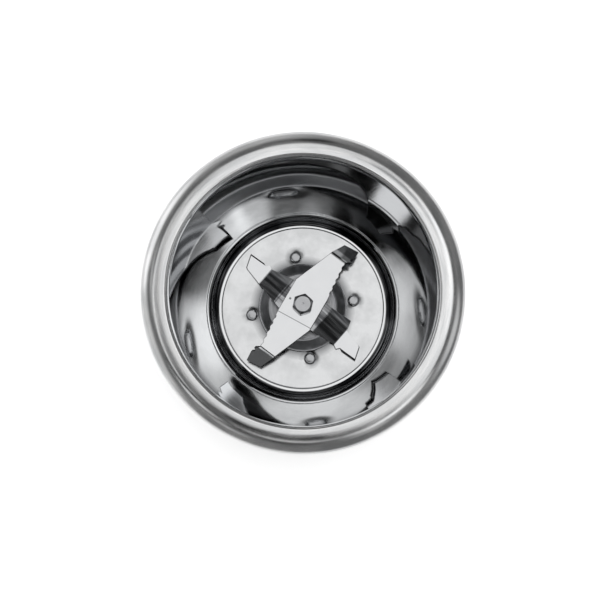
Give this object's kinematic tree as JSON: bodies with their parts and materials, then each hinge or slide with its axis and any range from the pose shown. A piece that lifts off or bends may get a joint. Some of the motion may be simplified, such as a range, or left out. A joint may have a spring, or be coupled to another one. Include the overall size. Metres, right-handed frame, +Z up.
{
  "type": "mixer grinder jar",
  "caption": "Small steel jar of a mixer grinder: flared bowl with a rolled rim, bent blades on a spindle in its floor, moulded base with a drive coupler below.",
  "frame": {"origin": "on the ground under the middle of the jar", "axes": "+Z up along the blade spindle, through the middle of the bowl"},
  "size_m": [0.1582, 0.1582, 0.1207],
  "materials": {
    "bowl_steel": "mirror polished inside, satin brushed rim",
    "blade_steel": "ground and polished stainless steel",
    "fastener_steel": "plated steel, half gloss",
    "shaft_steel": "ground stainless steel",
    "base_plastic": "fine spark texture, satin",
    "coupler_plastic": "smooth moulded nylon",
    "washer_plastic": "smooth acetal",
    "seal_rubber": "matt nitrile rubber",
    "housing_alloy": "turned aluminium",
    "brass": "turned brass",
    "bronze": "sintered bronze, oiled",
    "felt": "pressed wool felt"
  },
  "bodies": {
    "jar": {"jar_body": "bowl_steel", "base_housing": "base_plastic", "base_gasket": "seal_rubber", "rivets": "fastener_steel", "rivet_washers": "fastener_steel", "bearing_housing": "housing_alloy", "flange_gasket": "seal_rubber", "housing_nut": "brass", "housing_nut_washer": "fastener_steel", "upper_bush": "bronze", "oil_felt": "felt", "lower_bush": "bronze", "shaft_seal": "seal_rubber"},
    "rotor": {"spindle": "shaft_steel", "upper_thrust_washer": "washer_plastic", "lower_thrust_washer": "washer_plastic", "retaining_clip": "fastener_steel", "lower_blade": "blade_steel", "blade_spacer": "fastener_steel", "upper_blade": "blade_steel", "blade_bolt": "fastener_steel", "coupler": "coupler_plastic", "coupler_insert": "brass"}
  },
  "joints": [
    {"name": "blade_spin", "type": "hinge", "parent": "jar", "child": "rotor", "pos_m": [0, 0, 0.03], "axis": [0, 0, 1], "continuous": true}
  ]
}
